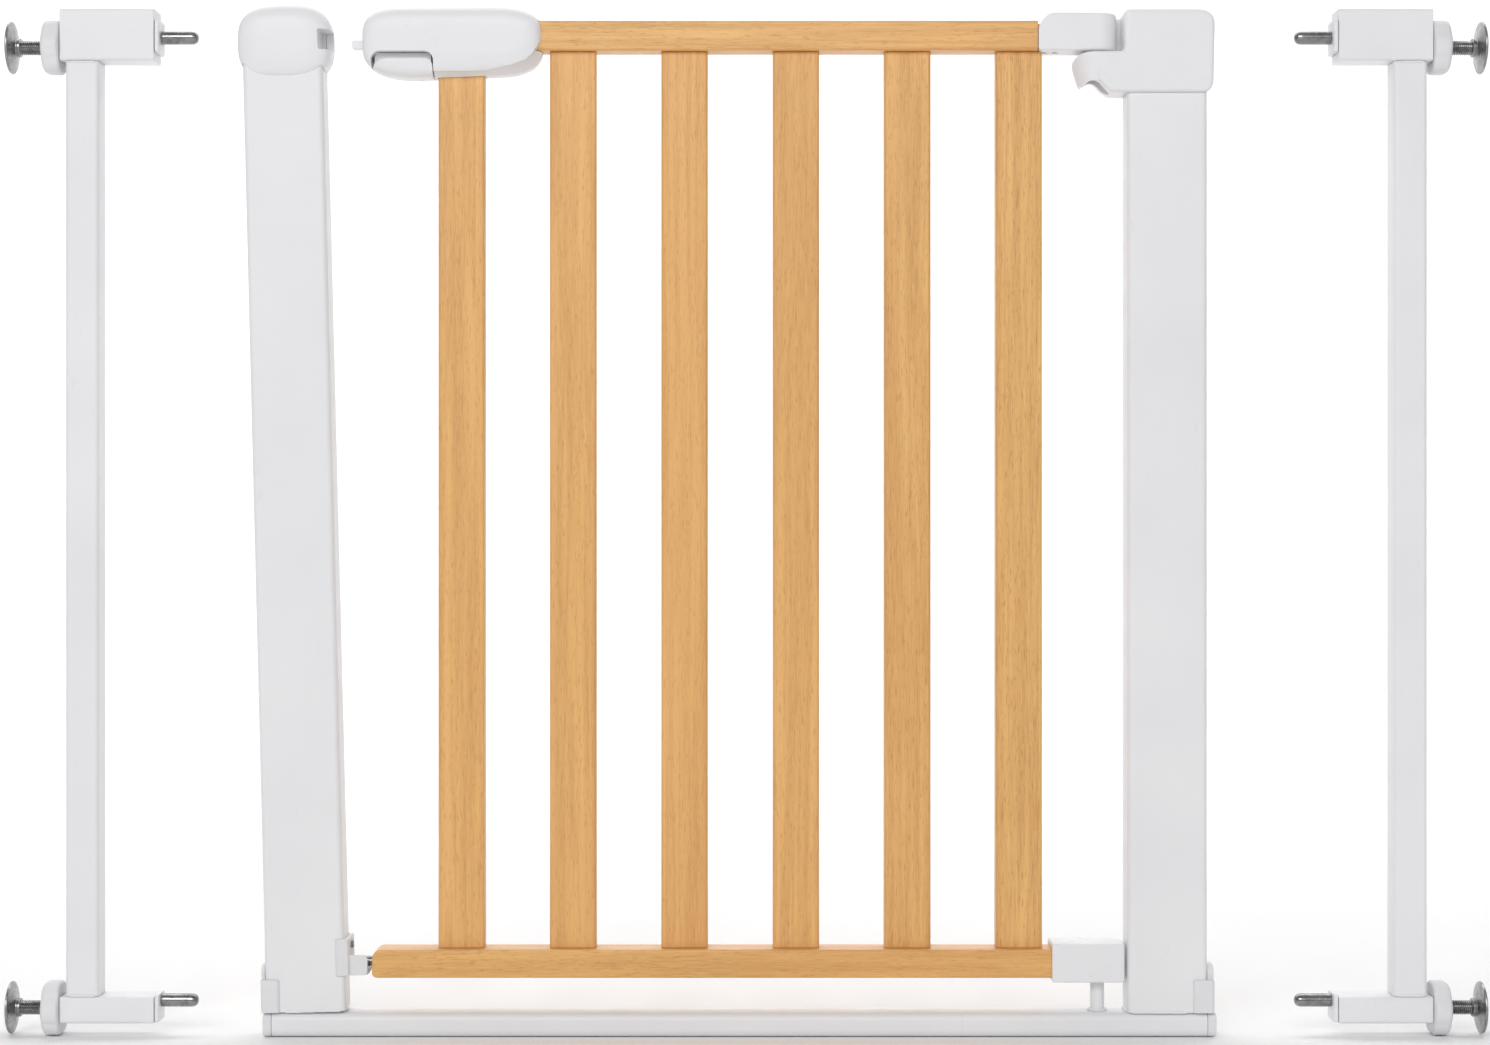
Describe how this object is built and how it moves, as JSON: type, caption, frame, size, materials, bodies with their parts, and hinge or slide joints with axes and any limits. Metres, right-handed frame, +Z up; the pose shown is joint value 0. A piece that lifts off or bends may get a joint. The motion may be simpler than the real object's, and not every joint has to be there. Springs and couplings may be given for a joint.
{
  "type": "safety baby gate",
  "caption": "Pressure-fit safety gate: wooden slatted swing door with a squeeze latch in a white steel frame, with plug-in extension frames and wall pressure discs.",
  "frame": {"origin": "centre of the base bar's underside, on the floor", "axes": "+Z up, +X along the base bar to the hinge side, +Y through the doorway away from the front"},
  "size_m": [1.1113, 0.0422, 0.7752],
  "materials": {
    "white_paint": "white powder coat, semi-gloss with fine orange peel",
    "white_gloss": "white moulded plastic, satin gloss",
    "white_matt": "white moulded plastic, fine texture",
    "bright_steel": "bright zinc-plated steel",
    "beech": "clear lacquered beech, straight fine grain along each piece"
  },
  "bodies": {
    "base_frame": {"base_bar": "white_paint", "base_plug_left": "white_matt", "base_plug_right": "white_matt", "right_post": "white_paint", "right_cap": "white_gloss", "right_foot_cover": "white_matt", "lower_hinge_pin": "white_paint", "hinge_bush": "white_matt", "closing_spring": "bright_steel"},
    "left_frame": {"left_post": "white_paint", "left_cap": "white_gloss", "left_foot_cover": "white_matt", "lower_latch_bracket": "white_matt", "latch_bracket_screw": "bright_steel"},
    "hinge_spindle": {"hinge_spindle": "bright_steel"},
    "door": {"top_rail": "beech", "bottom_rail": "beech", "slat_1": "beech", "slat_2": "beech", "slat_3": "beech", "slat_4": "beech", "slat_5": "beech", "slat_6": "beech", "latch_shell_front": "white_gloss", "latch_shell_rear": "white_gloss", "hinge_cover": "white_gloss", "lower_hinge_bracket": "white_gloss", "door_stub": "bright_steel", "hinge_screw_1": "bright_steel", "hinge_screw_2": "bright_steel", "shell_screw_1": "bright_steel", "shell_screw_2": "bright_steel", "rail_screw": "bright_steel", "bolt_spring": "bright_steel"},
    "trigger": {"trigger": "white_gloss"},
    "latch_bolt": {"latch_bolt": "white_gloss"},
    "left_extension": {"left_side_post": "white_paint", "left_upper_arm": "white_paint", "left_lower_arm": "white_paint", "left_upper_plate": "white_paint", "left_lower_plate": "white_paint", "left_upper_pin": "bright_steel", "left_lower_pin": "bright_steel"},
    "left_upper_handwheel": {"left_upper_handwheel": "white_matt"},
    "left_upper_spindle": {"left_upper_spindle": "bright_steel"},
    "left_lower_handwheel": {"left_lower_handwheel": "white_matt"},
    "left_lower_spindle": {"left_lower_spindle": "bright_steel"},
    "right_extension": {"right_side_post": "white_paint", "right_upper_arm": "white_paint", "right_lower_arm": "white_paint", "right_upper_plate": "white_paint", "right_lower_plate": "white_paint", "right_upper_pin": "bright_steel", "right_lower_pin": "bright_steel"},
    "right_upper_handwheel": {"right_upper_handwheel": "white_matt"},
    "right_upper_spindle": {"right_upper_spindle": "bright_steel"},
    "right_lower_handwheel": {"right_lower_handwheel": "white_matt"},
    "right_lower_spindle": {"right_lower_spindle": "bright_steel"}
  },
  "joints": [
    {"name": "left_extension_slide", "type": "slide", "parent": "base_frame", "child": "left_extension", "axis": [1, 0, 0], "range_m": [0, 0.0764]},
    {"name": "left_post_flex", "type": "hinge", "parent": "base_frame", "child": "left_frame", "pos_m": [-0.3254, 0, 0.018], "axis": [0, 1, 0], "range_deg": [0, 1.42]},
    {"name": "right_extension_slide", "type": "slide", "parent": "base_frame", "child": "right_extension", "axis": [-1, 0, 0], "range_m": [0, 0.0884]},
    {"name": "door_swing", "type": "hinge", "parent": "base_frame", "child": "hinge_spindle", "pos_m": [0.27, 0, 0.7], "axis": [0, 0, -1], "range_deg": [0, 90]},
    {"name": "door_lift", "type": "slide", "parent": "hinge_spindle", "child": "door", "axis": [0, 0, 1], "range_m": [0, 0.006]},
    {"name": "trigger_squeeze", "type": "slide", "parent": "door", "child": "trigger", "axis": [0, 0, 1], "range_m": [0, 0.0045]},
    {"name": "latch_bolt_slide", "type": "slide", "parent": "door", "child": "latch_bolt", "axis": [1, 0, 0], "range_m": [0, 0.0085], "stiffness_N_per_m": 300, "springref_m": -0.01, "deforming": ["bolt_spring"]},
    {"name": "left_upper_handwheel_turn", "type": "hinge", "parent": "left_extension", "child": "left_upper_handwheel", "pos_m": [-0.5175, 0, 0.7445], "axis": [1, 0, 0], "range_deg": [-2400, 4800]},
    {"name": "left_upper_spindle_slide", "type": "slide", "parent": "left_extension", "child": "left_upper_spindle", "axis": [-1, 0, 0], "range_m": [-0.01, 0.02]},
    {"name": "left_lower_handwheel_turn", "type": "hinge", "parent": "left_extension", "child": "left_lower_handwheel", "pos_m": [-0.5175, 0, 0.02], "axis": [1, 0, 0], "range_deg": [-2400, 4800]},
    {"name": "left_lower_spindle_slide", "type": "slide", "parent": "left_extension", "child": "left_lower_spindle", "axis": [-1, 0, 0], "range_m": [-0.01, 0.02]},
    {"name": "right_upper_handwheel_turn", "type": "hinge", "parent": "right_extension", "child": "right_upper_handwheel", "pos_m": [0.5278, 0, 0.7445], "axis": [-1, 0, 0], "range_deg": [-2400, 4800]},
    {"name": "right_upper_spindle_slide", "type": "slide", "parent": "right_extension", "child": "right_upper_spindle", "axis": [1, 0, 0], "range_m": [-0.01, 0.02]},
    {"name": "right_lower_handwheel_turn", "type": "hinge", "parent": "right_extension", "child": "right_lower_handwheel", "pos_m": [0.5278, 0, 0.02], "axis": [-1, 0, 0], "range_deg": [-2400, 4800]},
    {"name": "right_lower_spindle_slide", "type": "slide", "parent": "right_extension", "child": "right_lower_spindle", "axis": [1, 0, 0], "range_m": [-0.01, 0.02]}
  ],
  "couplings": [
    {"joint": "left_post_flex", "follows": "left_extension_slide", "rad_per_m": 0.3243},
    {"joint": "latch_bolt_slide", "follows": "trigger_squeeze", "ratio": 1.8888},
    {"joint": "left_upper_handwheel_turn", "follows": "left_upper_spindle_slide", "rad_per_m": 4188.7},
    {"joint": "left_lower_handwheel_turn", "follows": "left_lower_spindle_slide", "rad_per_m": 4188.7},
    {"joint": "right_upper_handwheel_turn", "follows": "right_upper_spindle_slide", "rad_per_m": 4188.7},
    {"joint": "right_lower_handwheel_turn", "follows": "right_lower_spindle_slide", "rad_per_m": 4188.7}
  ]
}
